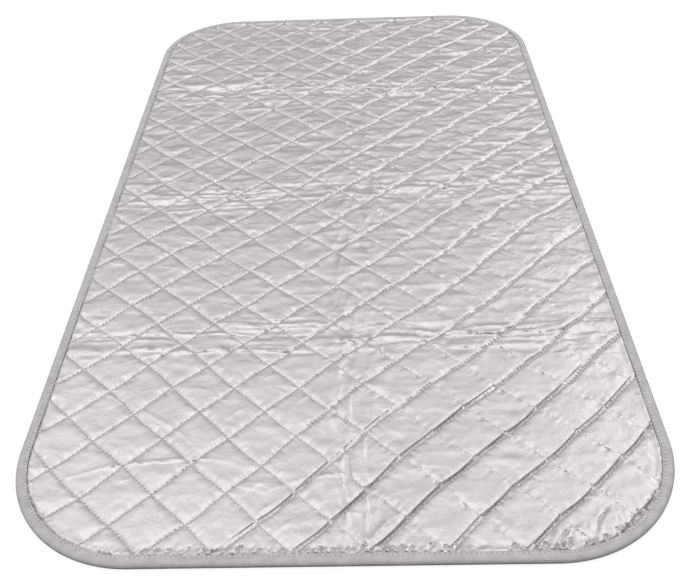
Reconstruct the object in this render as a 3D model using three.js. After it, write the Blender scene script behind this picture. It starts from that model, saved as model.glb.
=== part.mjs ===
// Quilted ironing pad: a silver-coated top cover, batting and a backing cloth, sewn together in diamonds
// and bound all round with a folded tape. Three crosswise creases part it into quarters that fold as a fan.
// Millimetres, +Z up. The origin is the centre of the underside, and +Y runs towards the rear edge.
import * as THREE from "three";

// Driving sizes
const PAD_WIDTH = 464;
const PAD_LENGTH = 826;
const CORNER_RADIUS = 95;
const BINDING_WIDTH = 7.6;
const TAPE_THICKNESS = 0.8;
const COVER_THICKNESS = 0.5;
const BACKING_THICKNESS = 0.5;
const SEAM_BATTING = 0.8;
const CROWN_RISE = 3.6;
const DIAMOND_ACROSS = 50;
const DIAMOND_ALONG = 47.5;

// Where one seam crossing lies: this far from the centre line, on the stitching of the front binding
const CROSSING_X = -31;
const CROSSING_INSET = 8;

// The lapped end of the tape, on the right-hand side just in front of the middle crease
const LAP_START = 24;
const LAP_LENGTH = 20;
const LAP_SLANT = 0.6;

// Clearances
const LAYER_GAP = 0.3;
const CREASE_GAP = 0.6;
const RIM_CLEARANCE = 1;
const WELD_DISTANCE = 0.5;

// How finely curves are cut
const ARC_STEPS = 8;
const NOSE_STEPS = 4;

// The shoulder of a pillow, as shares of the way in and of its rise, and the least rise that has one
const SHOULDER_IN = 0.36;
const SHOULDER_UP = 0.8;
const SHOULDER_LEAST = 0.6;

// Sizes that follow
const LIFT = TAPE_THICKNESS + LAYER_GAP;
const LIFT_RUN = 4 * LIFT;
const BATTING_BASE = BACKING_THICKNESS + LAYER_GAP;
const BATTING_SEAM = BATTING_BASE + SEAM_BATTING;
const COVER_SEAM = BATTING_SEAM + LAYER_GAP + COVER_THICKNESS;
const EDGE_HEIGHT = COVER_SEAM + LIFT + LAYER_GAP + TAPE_THICKNESS;
const EDGE_INSET = EDGE_HEIGHT / 2;
const RIM_INSET = BINDING_WIDTH + RIM_CLEARANCE;
const CROSSING_Y = CROSSING_INSET - PAD_LENGTH / 2;
const FULL_DEPTH = (DIAMOND_ACROSS * DIAMOND_ALONG) / 2 / Math.hypot(DIAMOND_ACROSS, DIAMOND_ALONG);

const quarter = PAD_LENGTH / 4;
const QUARTERS = [
  { name: "rear", front: quarter + CREASE_GAP / 2, rear: PAD_LENGTH / 2 },
  { name: "rear_middle", front: CREASE_GAP / 2, rear: quarter - CREASE_GAP / 2 },
  { name: "front_middle", front: CREASE_GAP / 2 - quarter, rear: -CREASE_GAP / 2 },
  { name: "front", front: -PAD_LENGTH / 2, rear: -quarter - CREASE_GAP / 2 },
];

const material = (color, roughness, metalness) =>
  new THREE.MeshStandardMaterial({ color, roughness, metalness });
const MATERIALS = {
  cover: material(0xcbc9ca, 0.5, 0.35),
  batting: material(0xf1efe8, 0.95, 0),
  backing: material(0xc3c3c4, 0.9, 0),
  tape: material(0xb9b8b9, 0.8, 0),
};

// Outline of the pad

// One rounded corner at an inset from the finished edge, counted anticlockwise from the rear right.
function cornerArc(corner, inset) {
  const centre = new THREE.Vector2(
    (corner === 0 || corner === 3 ? 1 : -1) * (PAD_WIDTH / 2 - CORNER_RADIUS),
    (corner < 2 ? 1 : -1) * (PAD_LENGTH / 2 - CORNER_RADIUS),
  );
  return Array.from({ length: ARC_STEPS + 1 }, (_, i) => {
    const angle = ((corner + i / ARC_STEPS) * Math.PI) / 2;
    const radius = CORNER_RADIUS - inset;
    return new THREE.Vector2(Math.cos(angle), Math.sin(angle)).multiplyScalar(radius).add(centre);
  });
}

// The stretches of a quarter's edge that are bound, anticlockwise, at an inset from the finished edge.
function edgeRuns({ name, front, rear }, inset) {
  const side = PAD_WIDTH / 2 - inset;
  const point = (x, y) => new THREE.Vector2(x, y);
  if (name === "rear") {
    return [[point(side, front), ...cornerArc(0, inset), ...cornerArc(1, inset), point(-side, front)]];
  }
  if (name === "front") {
    return [[point(-side, rear), ...cornerArc(2, inset), ...cornerArc(3, inset), point(side, rear)]];
  }
  return [
    [point(side, front), point(side, rear)],
    [point(-side, rear), point(-side, front)],
  ];
}

const quarterOutline = (part, inset) => edgeRuns(part, inset).flat();

// Closest point of an outline, as the index of its edge plus the share of the way along it.
function nearestOnOutline(outline, point) {
  const best = { place: 0, distance: Infinity };
  outline.forEach((a, i) => {
    const along = outline[(i + 1) % outline.length].clone().sub(a);
    const share = THREE.MathUtils.clamp(point.clone().sub(a).dot(along) / along.lengthSq(), 0, 1);
    const distance = point.distanceTo(a.clone().addScaledVector(along, share));
    if (distance < best.distance) {
      Object.assign(best, { place: i + share, distance });
    }
  });
  return best;
}

function placeOnOutline(outline, place) {
  const i = Math.floor(place) % outline.length;
  return outline[i].clone().lerp(outline[(i + 1) % outline.length], place - Math.floor(place));
}

// Diamonds of the quilting

// Part of a convex polygon on the left of the line from a to b.
function clipPolygon(polygon, a, b) {
  const side = (p) => (b.x - a.x) * (p.y - a.y) - (b.y - a.y) * (p.x - a.x);
  return polygon.flatMap((p, i) => {
    const next = polygon[(i + 1) % polygon.length];
    const [here, there] = [side(p), side(next)];
    const kept = here >= 0 ? [p] : [];
    return here * there < 0 ? [...kept, p.clone().lerp(next, here / (here - there))] : kept;
  });
}

// The diamonds between the seams, each cut to the outline.
function quiltCells(outline) {
  const box = new THREE.Box2().setFromPoints(outline);
  const [halfAcross, halfAlong] = [DIAMOND_ACROSS / 2, DIAMOND_ALONG / 2];
  const column = (x) => Math.round((x - CROSSING_X) / halfAcross);
  const row = (y) => Math.round((y - CROSSING_Y) / halfAlong);
  const cells = [];
  for (let i = column(box.min.x) - 1; i <= column(box.max.x) + 1; i++) {
    for (let j = row(box.min.y) - 1; j <= row(box.max.y) + 1; j++) {
      if ((i + j) % 2 === 0) {
        continue;
      }
      const [x, y] = [CROSSING_X + i * halfAcross, CROSSING_Y + j * halfAlong];
      const diamond = [[1, 0], [0, 1], [-1, 0], [0, -1]].map(
        ([u, v]) => new THREE.Vector2(x + u * halfAcross, y + v * halfAlong),
      );
      const cell = outline.reduce(
        (polygon, a, k) => clipPolygon(polygon, a, outline[(k + 1) % outline.length]),
        diamond,
      );
      if (cell.length > 2) {
        cells.push(cell);
      }
    }
  }
  return cells;
}

// Open surfaces, as points in plan with a rise and a lift each, and triangles

const newSheet = () => ({ points: [], triangles: [] });

function addPoint(sheet, at, rise, lift) {
  return sheet.points.push({ at, rise, lift }) - 1;
}

function addTriangle(sheet, ...corners) {
  if (new Set(corners).size === 3) {
    sheet.triangles.push(corners);
  }
}

function addStrip(sheet, a, b, c, d) {
  addTriangle(sheet, a, b, c);
  addTriangle(sheet, a, c, d);
}

// Edges that only one triangle has, in the direction in which it has them.
function openEdges({ triangles }) {
  const edges = triangles.flatMap(([a, b, c]) => [[a, b], [b, c], [c, a]]);
  const known = new Set(edges.map(([a, b]) => `${a},${b}`));
  return edges.filter(([a, b]) => !known.has(`${b},${a}`));
}

// How far a point is lifted over the lower leg of the tape, which is the whole lift at the rim.
function rimLift(part, point) {
  const distances = edgeRuns(part, RIM_INSET).map((run) =>
    Math.min(
      ...run.slice(1).map((b, i) => {
        const nearest = new THREE.Vector3();
        const line = new THREE.Line3(
          new THREE.Vector3(run[i].x, run[i].y, 0),
          new THREE.Vector3(b.x, b.y, 0),
        );
        line.closestPointToPoint(new THREE.Vector3(point.x, point.y, 0), true, nearest);
        return Math.hypot(nearest.x - point.x, nearest.y - point.y);
      }),
    ),
  );
  return LIFT * Math.max(0, 1 - Math.min(...distances) / LIFT_RUN);
}

const isOnOutline = (outline, point) => nearestOnOutline(outline, point).distance < 1e-6;

// Area centre of a convex polygon.
function polygonCentre(polygon) {
  const sum = new THREE.Vector2();
  let area = 0;
  for (let i = 1; i < polygon.length - 1; i++) {
    const [a, b, c] = [polygon[0], polygon[i], polygon[i + 1]];
    const twice = (b.x - a.x) * (c.y - a.y) - (b.y - a.y) * (c.x - a.x);
    sum.addScaledVector(a.clone().add(b).add(c), twice / 3);
    area += twice;
  }
  return sum.divideScalar(area);
}

// Corners of the cells, with those closer than the weld distance taken as one, on the outline if one is.
function weldCorners(cells, outline, sheet, part) {
  const corners = cells.flat().map((at) => {
    const isCorner = outline.some((p) => p.distanceTo(at) < 1e-6);
    return { at, rank: Number(isOnOutline(outline, at)) + Number(isCorner) };
  });
  corners.sort((a, b) => b.rank - a.rank);
  const kept = [];
  for (const { at } of corners) {
    if (!kept.some((other) => other.at.distanceTo(at) < WELD_DISTANCE)) {
      kept.push({ at, index: addPoint(sheet, at, 0, rimLift(part, at)) });
    }
  }
  return (at) => kept.find((other) => other.at.distanceTo(at) < WELD_DISTANCE).index;
}

// A pillow over each diamond, drawn down to its seams, with a flat rim that goes into the binding.
function quiltedSheet(part, hasShoulders) {
  const sheet = newSheet();
  const outline = quarterOutline(part, RIM_INSET);
  const cells = quiltCells(outline);
  const cornerIndex = weldCorners(cells, outline, sheet, part);
  for (const cell of cells) {
    const ring = cell.map(cornerIndex).filter((index, k, all) => index !== all[(k + 1) % all.length]);
    if (ring.length < 3) {
      continue;
    }
    const corners = ring.map((index) => sheet.points[index]);
    const middle = polygonCentre(corners.map(({ at }) => at));
    const depth = nearestOnOutline(corners.map(({ at }) => at), middle).distance;
    const rise = CROWN_RISE * Math.min(1, depth / FULL_DEPTH);
    const lift = rimLift(part, middle);
    const crown = addPoint(sheet, middle, rise, lift);
    const isFull = rise > SHOULDER_LEAST * CROWN_RISE;
    const inner = corners.map((corner, k) =>
      hasShoulders && isFull
        ? addPoint(
            sheet,
            corner.at.clone().lerp(middle, SHOULDER_IN),
            SHOULDER_UP * rise,
            THREE.MathUtils.lerp(corner.lift, lift, SHOULDER_IN),
          )
        : ring[k],
    );
    ring.forEach((index, k) => {
      const next = (k + 1) % ring.length;
      addStrip(sheet, index, ring[next], inner[next], inner[k]);
      addTriangle(sheet, inner[k], inner[next], crown);
    });
  }
  addRim(sheet, outline, quarterOutline(part, EDGE_INSET), part);
  return sheet;
}

// The flat rim from the quilted part out to the cut edge, left out along the creases.
function addRim(sheet, outline, cutEdge, part) {
  const outer = new Map();
  const outerIndex = (index) => {
    if (!outer.has(index)) {
      const { place } = nearestOnOutline(outline, sheet.points[index].at);
      outer.set(index, addPoint(sheet, placeOnOutline(cutEdge, place), 0, LIFT));
    }
    return outer.get(index);
  };
  for (const [a, b] of openEdges(sheet)) {
    const middle = sheet.points[a].at.clone().lerp(sheet.points[b].at, 0.5);
    const isCrease = [part.front, part.rear].some((y) => Math.abs(middle.y - y) < 1e-6);
    if (!isCrease) {
      addStrip(sheet, b, a, outerIndex(a), outerIndex(b));
    }
  }
}

// A plain sheet that lies flat and steps up at its rim, over the lower leg of the tape.
function steppedSheet(part) {
  const sheet = newSheet();
  const rings = [
    [EDGE_INSET, LIFT],
    [RIM_INSET, LIFT],
    [RIM_INSET + LIFT_RUN, 0],
  ].map(([inset, lift]) => quarterOutline(part, inset).map((at) => addPoint(sheet, at, 0, lift)));
  const innermost = rings.at(-1);
  const middle = polygonCentre(innermost.map((index) => sheet.points[index].at));
  const centre = addPoint(sheet, middle, 0, 0);
  innermost.forEach((index, i) => {
    const next = (i + 1) % innermost.length;
    addTriangle(sheet, index, innermost[next], centre);
    const creaseEdge = sheet.points[index].at.y === sheet.points[innermost[next]].at.y;
    const isCrease = creaseEdge && [part.front, part.rear].includes(sheet.points[index].at.y);
    for (let k = 0; k < rings.length - 1 && !isCrease; k++) {
      addStrip(sheet, rings[k][i], rings[k][next], rings[k + 1][next], rings[k + 1][i]);
    }
  });
  return sheet;
}

// Closed solids

function geometryOf(positions, triangles) {
  const geometry = new THREE.BufferGeometry();
  geometry.setAttribute("position", new THREE.Float32BufferAttribute(positions.flat(), 3));
  geometry.setIndex(triangles.flat());
  geometry.computeVertexNormals();
  return geometry;
}

// The solid between an upper and a lower height over every point of a sheet.
function slab(sheet, upper, lower) {
  const count = sheet.points.length;
  const level = (height) => sheet.points.map((point) => [point.at.x, point.at.y, height(point)]);
  const walls = openEdges(sheet).flatMap(([a, b]) => [
    [b, a, a + count],
    [b, a + count, b + count],
  ]);
  const underside = sheet.triangles.map(([a, b, c]) => [c + count, b + count, a + count]);
  return geometryOf([...level(upper), ...level(lower)], [...sheet.triangles, ...walls, ...underside]);
}

// Section of the tape round the edge, as inset and height: the outside downwards, then the inside upwards.
function tapeSection(addedOnTop) {
  const nose = (radius, turn) =>
    Array.from({ length: NOSE_STEPS + 1 }, (_, i) => {
      const angle = turn * Math.PI * (0.5 - i / NOSE_STEPS);
      return [EDGE_INSET - radius * Math.cos(angle), EDGE_INSET + radius * Math.sin(angle)];
    });
  const outside = [[BINDING_WIDTH, EDGE_HEIGHT], ...nose(EDGE_INSET, 1), [BINDING_WIDTH, 0]];
  const inside = [
    [BINDING_WIDTH, TAPE_THICKNESS],
    ...nose(EDGE_INSET - TAPE_THICKNESS, -1),
    [BINDING_WIDTH, EDGE_HEIGHT - TAPE_THICKNESS],
  ];
  outside[0][1] += addedOnTop;
  outside[1][1] += addedOnTop;
  return [...outside, ...inside];
}

// A solid swept through closed rings of equal length, with flat ends.
function sweep(rings) {
  const size = rings[0].length;
  const triangles = [];
  for (let r = 0; r < rings.length - 1; r++) {
    for (let i = 0; i < size; i++) {
      const next = (i + 1) % size;
      const [a, b, c, d] = [r * size + i, r * size + next, (r + 1) * size + next, (r + 1) * size + i];
      triangles.push([a, b, c], [a, c, d]);
    }
  }
  const half = size / 2;
  const last = (rings.length - 1) * size;
  for (let i = 0; i < half - 1; i++) {
    const [a, b, c, d] = [i, i + 1, size - 2 - i, size - 1 - i];
    triangles.push([a, c, b], [a, d, c], [last + a, last + b, last + c], [last + a, last + c, last + d]);
  }
  return geometryOf(rings.flat(), triangles);
}

// Tape along one run of the edge.
function tapeAlong(part, run) {
  const section = tapeSection(0);
  const lines = section.map(([inset]) => edgeRuns(part, inset)[run]);
  const rings = lines[0].map((_, station) =>
    section.map(([, height], i) => [lines[i][station].x, lines[i][station].y, height]),
  );
  return sweep(rings);
}

// The straight tape that holds the lap: its upper leg is one tape thicker between two slanting steps.
function lappedTape(part) {
  const edgeX = PAD_WIDTH / 2;
  const step = TAPE_THICKNESS / 2;
  const stations = [
    { y: part.front, slant: 0, added: 0 },
    { y: -LAP_START - LAP_LENGTH - step, slant: LAP_SLANT, added: 0 },
    { y: -LAP_START - LAP_LENGTH, slant: LAP_SLANT, added: TAPE_THICKNESS },
    { y: -LAP_START, slant: LAP_SLANT, added: TAPE_THICKNESS },
    { y: -LAP_START + step, slant: LAP_SLANT, added: 0 },
    { y: part.rear, slant: 0, added: 0 },
  ];
  const rings = stations.map(({ y, slant, added }) =>
    tapeSection(added).map(([inset, height]) => [edgeX - inset, y + slant * inset, height]),
  );
  return sweep(rings);
}

// Assembly

const pad = new THREE.Group();
pad.name = "ironing_pad";

function addPiece(group, name, geometry, look) {
  const mesh = new THREE.Mesh(geometry, look);
  mesh.name = name;
  group.add(mesh);
}

function addBinding(group, part) {
  const runs = edgeRuns(part, 0).length;
  if (runs === 1) {
    addPiece(group, `binding_${part.name}`, tapeAlong(part, 0), MATERIALS.tape);
    return;
  }
  const holdsLap = part.name === "front_middle";
  const right = holdsLap ? lappedTape(part) : tapeAlong(part, 0);
  addPiece(group, `binding_right_${part.name}`, right, MATERIALS.tape);
  addPiece(group, `binding_left_${part.name}`, tapeAlong(part, 1), MATERIALS.tape);
}

for (const part of QUARTERS) {
  const group = new THREE.Group();
  group.name = `${part.name}_quarter`;
  const cover = slab(
    quiltedSheet(part, true),
    ({ rise, lift }) => COVER_SEAM + rise + lift,
    ({ rise, lift }) => COVER_SEAM + rise + lift - COVER_THICKNESS,
  );
  const batting = slab(
    quiltedSheet(part, false),
    ({ rise, lift }) => BATTING_SEAM + rise + lift,
    ({ lift }) => BATTING_BASE + lift,
  );
  const backing = slab(
    steppedSheet(part),
    ({ lift }) => BACKING_THICKNESS + lift,
    ({ lift }) => lift,
  );
  addPiece(group, `top_cover_${part.name}`, cover, MATERIALS.cover);
  addPiece(group, `batting_${part.name}`, batting, MATERIALS.batting);
  addPiece(group, `backing_${part.name}`, backing, MATERIALS.backing);
  addBinding(group, part);
  pad.add(group);
}

export default pad;
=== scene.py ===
"""Looks of a quilted ironing pad: crinkled silver cover, backing cloth, tape binding and thread."""

import math

import bpy
import numpy as np
from mathutils import Matrix, Vector


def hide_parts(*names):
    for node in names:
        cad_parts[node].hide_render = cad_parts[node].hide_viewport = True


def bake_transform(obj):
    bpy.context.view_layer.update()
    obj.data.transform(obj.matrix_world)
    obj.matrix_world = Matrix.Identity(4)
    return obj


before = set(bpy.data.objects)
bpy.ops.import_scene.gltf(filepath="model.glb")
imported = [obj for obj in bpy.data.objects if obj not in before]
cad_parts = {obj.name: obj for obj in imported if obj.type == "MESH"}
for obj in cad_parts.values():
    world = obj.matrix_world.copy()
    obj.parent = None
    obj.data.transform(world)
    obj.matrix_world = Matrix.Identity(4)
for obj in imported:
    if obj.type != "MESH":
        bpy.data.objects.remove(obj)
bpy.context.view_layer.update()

# Sizes in millimetres, as in the CAD
MM = 0.001
WIDTH, LENGTH, CORNER = 464.0, 826.0, 95.0
ACROSS, ALONG = 50.0, 47.5
SPACING = 1 / math.hypot(1 / ACROSS, 1 / ALONG)
DIAMOND_EDGE = math.hypot(ACROSS, ALONG) / 2
CROSSING = (-31.0, 8.0 - LENGTH / 2)
BINDING = 7.6
SEAM_Z, RIM_Z, CROWN_Z = 2.4, 2.8, 6.2
RIM_GAP, RIM_RUN = 0.5, 6
CREASES = {"rear": LENGTH / 4, "middle": 0.0, "front": -LENGTH / 4}
LONG_CREASE = 10

# The cloth is cut into three spans, each of which holds one crease
CUT = LENGTH / 8
SPANS = {
    "rear": ("rear_quarter", "rear_middle_quarter", CUT, LENGTH),
    "middle": ("rear_middle_quarter", "front_middle_quarter", -CUT, CUT),
    "front": ("front_middle_quarter", "front_quarter", -LENGTH, -CUT),
}

# CAD nodes that each span's pieces stand for
QUARTERS = {"rear": ("rear", "rear_middle"), "middle": (), "front": ("front_middle", "front")}
TAPES = {
    "rear": ["binding_rear"],
    "middle": [f"binding_{side}_{half}_middle" for side in ("left", "right") for half in ("rear", "front")],
    "front": ["binding_front"],
}

# Net steps to half a diamond: for the simulation, for the finished cover and for the backing
SIM_STEPS, FINE_STEPS, BACKING_STEPS = 12, 20, 10
NET_INSET = 3.2

rng = np.random.default_rng(7)


# Fields over the pad

# A smoothing kernel reaches this many of its widths
KERNEL_REACH = 3

# Waves of the seams each way: rise, the lengths in x and in y that they go with, and phase
WANDER_X = ((1.6, 61, 97, 1.3), (1.4, -150, 33, 0.7), (0.8, 19, -13, 2.6))
WANDER_Y = ((1.6, 89, 57, 0.4), (1.4, 29, 140, 2.1), (0.8, 11, 21, 0.9))
WANDER_INSET = 45


def smoothstep(low, high, value):
    t = np.clip((value - low) / (high - low), 0, 1)
    return t * t * (3 - 2 * t)


def from_least(least, share):
    """A share that goes from a least value to one."""
    return least + (1 - least) * share


def right_share(x):
    """How far a place is over to the right, where the rising seams are drawn in harder."""
    return smoothstep(-100, 110, x)


def rear_share(y):
    """How far a place is to the rear, where the cover is more wrinkled."""
    return smoothstep(-250, 50, y)


def inset(x, y):
    """Distance in from the finished edge, negative outside it."""
    qx = np.abs(x) - (WIDTH / 2 - CORNER)
    qy = np.abs(y) - (LENGTH / 2 - CORNER)
    outside = np.hypot(np.maximum(qx, 0), np.maximum(qy, 0))
    return CORNER - outside - np.minimum(np.maximum(qx, qy), 0)


def lattice(x, y):
    """Counts of the rising and of the falling seams up to a point; a whole number is on a seam."""
    u = (x - CROSSING[0]) / ACROSS
    v = (y - CROSSING[1]) / ALONG
    return u - v, u + v


def to_whole(count):
    """Distance to the nearest seam of a count."""
    return SPACING * np.abs(count - np.round(count))


def seam_distance(x, y):
    rising, falling = lattice(x, y)
    return np.minimum(to_whole(rising), to_whole(falling))


def wander(x, y):
    """Plan after the seams have wandered as hand-fed sewing does."""
    hold = smoothstep(BINDING, WANDER_INSET, inset(x, y))
    shift_x, shift_y = (
        sum(rise * np.sin(x / run_x + y / run_y + phase) for rise, run_x, run_y, phase in waves)
        for waves in (WANDER_X, WANDER_Y)
    )
    return x + hold * shift_x, y + hold * shift_y


def streaks(shape, across, along):
    """Smooth noise of unit spread with a correlation in net steps each way."""
    field = rng.normal(size=shape)
    for axis, width in ((0, along), (1, across)):
        reach = int(KERNEL_REACH * width) + 1
        kernel = np.exp(-0.5 * (np.arange(-reach, reach + 1) / width) ** 2)
        field = np.apply_along_axis(np.convolve, axis, field, kernel, "same")
    return field / field.std()


def ring_noise(count, width):
    """Smooth noise of unit spread round a closed line."""
    reach = np.minimum(np.arange(count), count - np.arange(count))
    kernel = np.exp(-0.5 * (reach / width) ** 2)
    field = np.fft.irfft(np.fft.rfft(rng.normal(size=count)) * np.fft.rfft(kernel), count)
    return field / field.std()


# Meshes

# Least length that a vector is divided by
TINY = 1e-12

# Cosines of the turn between a face and its smooth normal where a fold starts and ends being sharp
FOLD_SMOOTH, FOLD_SHARP = 0.96, 0.85

# Sampling stops this many points short of a net's far edge, so that each sample has a next point
LAST_SAMPLE = 1.001


class Net:
    """A net of points over the pad, cut in two along the seams where they cross its squares."""

    def __init__(self, steps, least_inset):
        self.steps = steps
        self.dx, self.dy = ACROSS / 2 / steps, ALONG / 2 / steps
        columns = self.counts(WIDTH / 2 - least_inset, CROSSING[0], self.dx)
        rows = self.counts(LENGTH / 2 - least_inset, CROSSING[1], self.dy)
        self.i, self.j = np.meshgrid(columns, rows)
        self.x = CROSSING[0] + self.i * self.dx
        self.y = CROSSING[1] + self.j * self.dy
        self.inset = inset(self.x, self.y)
        self.rising = (self.i - self.j) % (2 * steps) == 0
        self.falling = (self.i + self.j) % (2 * steps) == 0
        self.kept = self.inset >= least_inset
        kept = self.kept
        self.whole = kept[:-1, :-1] & kept[:-1, 1:] & kept[1:, 1:] & kept[1:, :-1]

    @staticmethod
    def counts(reach, start, step):
        """Steps from a start that stay within a reach of the middle."""
        return np.arange(-int((reach + start) / step), int((reach - start) / step) + 1)

    def points(self, height):
        return np.stack([self.x, self.y, height], -1).reshape(-1, 3)

    def quads(self, rows=slice(None)):
        index = np.arange(self.x.size).reshape(self.x.shape)
        corners = index[:-1, :-1], index[:-1, 1:], index[1:, 1:], index[1:, :-1]
        return np.stack([corner[rows][self.whole[rows]] for corner in corners], -1)

    def triangles(self, rows=slice(None)):
        whole = self.whole[rows]
        rising = self.rising[:-1, :-1][rows][whole]
        falling = self.falling[:-1, 1:][rows][whole]
        chequer = (self.i + self.j)[:-1, :-1][rows][whole] % 2 == 0
        slash = (rising | (~falling & chequer))[:, None]
        a, b, c, d = self.quads(rows).T
        first = np.where(slash, np.stack([a, b, c], -1), np.stack([a, b, d], -1))
        second = np.where(slash, np.stack([a, c, d], -1), np.stack([b, c, d], -1))
        return np.concatenate([first, second])

    def span_rows(self, span):
        _, _, low, high = SPANS[span]
        middle = self.y[:-1, 0] + self.dy / 2
        return np.flatnonzero((middle >= low) & (middle < high))

    def sample(self, field, other):
        """A field of this net at the points of another, smoothed over its steps."""
        across = np.clip((other.x[0] - self.x[0, 0]) / self.dx, 0, self.x.shape[1] - LAST_SAMPLE)
        along = np.clip((other.y[:, 0] - self.y[0, 0]) / self.dy, 0, self.x.shape[0] - LAST_SAMPLE)
        i, j = across.astype(int), along.astype(int)
        s, t = across - i, (along - j)[:, None]
        near = field[j][:, i] * (1 - s) + field[j][:, i + 1] * s
        far = field[j + 1][:, i] * (1 - s) + field[j + 1][:, i + 1] * s
        return soften(near * (1 - t) + far * t)


def soften(field):
    padded = np.pad(field, 1, mode="edge")
    field = (padded[:-2] + 2 * padded[1:-1] + padded[2:]) / 4
    return (field[:, :-2] + 2 * field[:, 1:-1] + field[:, 2:]) / 4


def new_object(name, points, faces, material=None, normals=None):
    """A smooth mesh object from points in millimetres."""
    mesh = bpy.data.meshes.new(name)
    mesh.from_pydata((np.asarray(points) * MM).tolist(), [], np.asarray(faces).tolist())
    mesh.polygons.foreach_set("use_smooth", np.ones(len(mesh.polygons), bool))
    if material:
        mesh.materials.append(material)
    if normals is not None:
        mesh.normals_split_custom_set(normals.reshape(-1, 3).tolist())
    mesh.update()
    obj = bpy.data.objects.new(name, mesh)
    bpy.context.scene.collection.objects.link(obj)
    return obj


def unit(vectors):
    return vectors / np.maximum(np.linalg.norm(vectors, axis=1, keepdims=True), TINY)


def face_normals(points, triangles):
    """Normals of triangles, as long as twice their area."""
    a, b, c = (points[triangles[:, k]] for k in range(3))
    return np.cross(b - a, c - a)


def vertex_normals(points, triangles):
    face = face_normals(points, triangles)
    normals = np.zeros_like(points)
    for k in range(3):
        np.add.at(normals, triangles[:, k], face)
    return unit(normals)


def crisp_normals(points, triangles, normals):
    """Normals at the corners of triangles: smooth, but a triangle's own where the cloth folds sharply."""
    face = unit(face_normals(points, triangles))
    smooth = normals[triangles]
    turn = np.einsum("fcx,fx->fc", smooth, face)
    sharp = smoothstep(FOLD_SMOOTH, FOLD_SHARP, turn)[..., None]
    return (1 - sharp) * smooth + sharp * face[:, None]


def part_object(name, points, normals, faces, material):
    """The object of some of a larger mesh's faces, with the larger mesh's normals along the cut."""
    used, own = np.unique(faces, return_inverse=True)
    return new_object(name, points[used], own.reshape(faces.shape), material, normals)


def bend_over_crease(obj):
    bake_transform(obj)


# Creases and wrinkles of the cover

# Widths of the creases' wrinkled bands, and how far the gathers reach in from the tape
CREASE_WIDTH, LONG_CREASE_WIDTH, GATHER_REACH = 25, 26, 8

# Stretches of the pad's length over which the lengthwise fold and the gathers grow, and what they grow from
LONG_CREASE_Y, LONG_CREASE_LEAST = (200, -200), 0.5
GATHER_Y, GATHER_LEAST = (0, -400), 0.35

# Wrinkles that stand out: middle, half length, turn in degrees, rise and width
LONG_FOLDS = (
    (-140, -331, 72, 5, 1.3, 1.7),
    (-150, -284, 62, -32, 1.1, 1.7),
    (-20, -346, 42, 9, 0.9, 1.7),
    (122, -206, 84, -7, 0.9, 1.7),
    (-90, -222, 100, 2, 1.2, 1.7),
    (-122, -22, 84, 6, 1.1, 1.7),
    (110, 7, 82, -6, 1.0, 1.7),
    (-100, 226, 82, 5, 1.0, 1.7),
    (8, -325, 76, 93, 1.1, 1.7),
    (20, -110, 70, 94, 0.9, 1.7),
    (27, -386, 19, 44, 2.4, 3.6),
    (169, -382, 14, 61, -2.6, 1.3),
    (144, -393, 8, 48, -2.6, 1.3),
)

# Other wrinkles: how many, the range of half lengths, the turn and its spread, the ranges of rise and width
CROSSWISE_FOLDS = 80, (14, 50), (0, 0.08), (-0.3, 1.0), (1.0, 1.6)
LENGTHWISE_FOLDS = 150, (7, 20), (1.57, 0.2), (-0.5, 1.0), (1.2, 1.9)
SCATTERED_FOLDS = 550, (5, 16), (0, 0.5), (-0.3, 0.8), (1.2, 2.0)

# Where they lie: the reach each way from the middle, and the spread about a crease
FOLDS_X, FOLDS_Y, FOLDS_REAR = 215, 395, 400
CROSSWISE_SPREAD, LENGTHWISE_SPREAD, LENGTHWISE_CROWD = 10, 19, 0.7

# A wrinkle's bow for its length, its steepness in front and behind, and the trough that it rises from
FOLD_BOW, FOLD_FRONT, FOLD_REAR, FOLD_MARGIN = 0.12, 0.7, 1.2, 8
TROUGH_DEPTH, TROUGH_WIDTH = 0.4, 3

# Crinkles: rise, what the rear adds to it, and lengths across and along
CRINKLES = ((0.26, 0.12, 14, 5), (0.22, 0, 8, 3.2), (0.1, 0, 2.4, 2.4))
CREASE_CRINKLES = 0.6, 30, 2.6
LONG_CREASE_CRINKLES = 0.9, 2.8, 13
CRINKLE_FRONT, CRINKLE_REAR, CRINKLE_LEFT, CRINKLE_RIGHT = 0.75, 0.6, 0.9, 0.3
RIDGE_TOP = 0.8


def crease_fields(net):
    """How far each point takes part in the crosswise folds, the lengthwise fold and the tape's gathers."""
    crosswise = sum(np.exp(-(((net.y - y) / CREASE_WIDTH) ** 2)) for y in CREASES.values())
    lengthwise = np.exp(-(((net.x - LONG_CREASE) / LONG_CREASE_WIDTH) ** 2))
    lengthwise = lengthwise * from_least(LONG_CREASE_LEAST, smoothstep(*LONG_CREASE_Y, net.y))
    gathers = np.exp(-np.maximum(net.inset - BINDING - 1, 0) / GATHER_REACH)
    gathers = gathers * from_least(GATHER_LEAST, smoothstep(*GATHER_Y, net.y))
    return crosswise, lengthwise, gathers


def drawn_folds(sort, place):
    """Wrinkles of one sort, each about a middle that place() draws."""
    count, half, turn, rise, width = sort
    return [
        (*place(), rng.uniform(*half), rng.normal(*turn), rng.uniform(*rise), rng.uniform(*width))
        for _ in range(count)
    ]


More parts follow.
